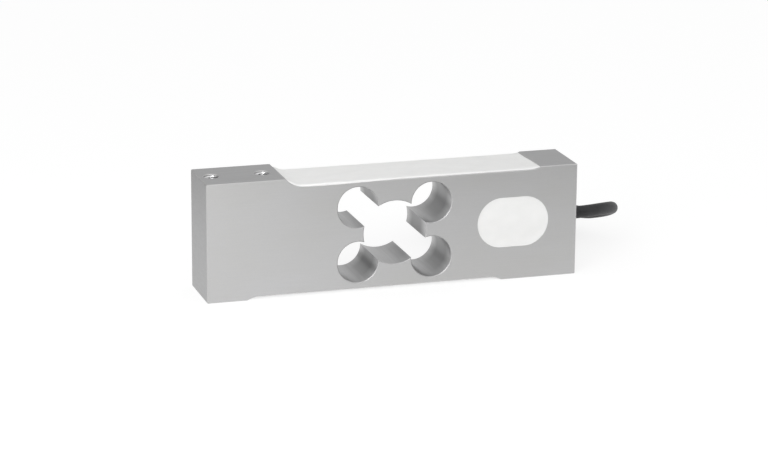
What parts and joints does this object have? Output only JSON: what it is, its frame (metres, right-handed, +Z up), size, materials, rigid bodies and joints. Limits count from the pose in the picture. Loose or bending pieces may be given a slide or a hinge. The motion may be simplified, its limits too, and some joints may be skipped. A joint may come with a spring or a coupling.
{
  "type": "single point load cell",
  "caption": "Aluminium bar force sensor with a five-hole bending opening, sealed strain gauges, potted wiring pocket and a screened signal cable.",
  "frame": {"origin": "middle of the bar's footprint, in the plane of its two feet", "axes": "+X along the bar towards the cable end, +Y across the bar away from the potted pocket, +Z up towards the load pad"},
  "size_m": [0.1818, 0.0923, 0.047],
  "materials": {
    "machined_aluminium": "fine machined, satin, with bright broken edges",
    "white_compound": "cast silicone sealing compound, soft sheen",
    "black_jacket": "smooth PVC jacket with a soft sheen",
    "polyimide": "thin amber film",
    "gauge_foil": "etched constantan foil",
    "copper": "copper, lightly tinned",
    "solder": "solder",
    "enamelled_wire": "enamelled copper wire",
    "board_laminate": "glass laminate with green resist",
    "chip_ceramic": "dark glazed chip",
    "seal_adhesive": "cured adhesive",
    "red_insulation": "PVC insulation",
    "black_insulation": "PVC insulation",
    "green_insulation": "PVC insulation",
    "white_insulation": "PVC insulation",
    "tinned_wire": "tinned copper strand",
    "shrink_sleeve": "matt shrink sleeve",
    "tie_nylon": "moulded nylon"
  },
  "bodies": {
    "root": {"spring_element": "machined_aluminium", "top_coating": "white_compound", "base_coating": "white_compound", "pocket_potting": "white_compound", "gauge_backing_top_load": "polyimide", "gauge_foil_top_load": "gauge_foil", "terminal_strip_top_load": "copper", "gauge_backing_top_fixed": "polyimide", "gauge_foil_top_fixed": "gauge_foil", "terminal_strip_top_fixed": "copper", "gauge_solder_top": "solder", "gauge_leads_top": "enamelled_wire", "gauge_backing_base_load": "polyimide", "gauge_foil_base_load": "gauge_foil", "terminal_strip_base_load": "copper", "gauge_backing_base_fixed": "polyimide", "gauge_foil_base_fixed": "gauge_foil", "terminal_strip_base_fixed": "copper", "gauge_solder_base": "solder", "gauge_leads_base": "enamelled_wire", "compensation_board": "board_laminate", "board_copper": "copper", "board_solder": "solder", "span_resistor": "chip_ceramic", "zero_resistor": "chip_ceramic", "modulus_resistor": "chip_ceramic", "cable_core_red": "red_insulation", "end_core_red": "red_insulation", "cable_core_black": "black_insulation", "end_core_black": "black_insulation", "cable_core_green": "green_insulation", "end_core_green": "green_insulation", "cable_core_white": "white_insulation", "end_core_white": "white_insulation", "cable_drain": "tinned_wire", "end_drain": "tinned_wire", "bore_seal": "seal_adhesive", "cable_run": "black_jacket", "cable_coil": "black_jacket", "coil_tie": "tie_nylon", "end_sleeve": "shrink_sleeve"}
  },
  "joints": []
}
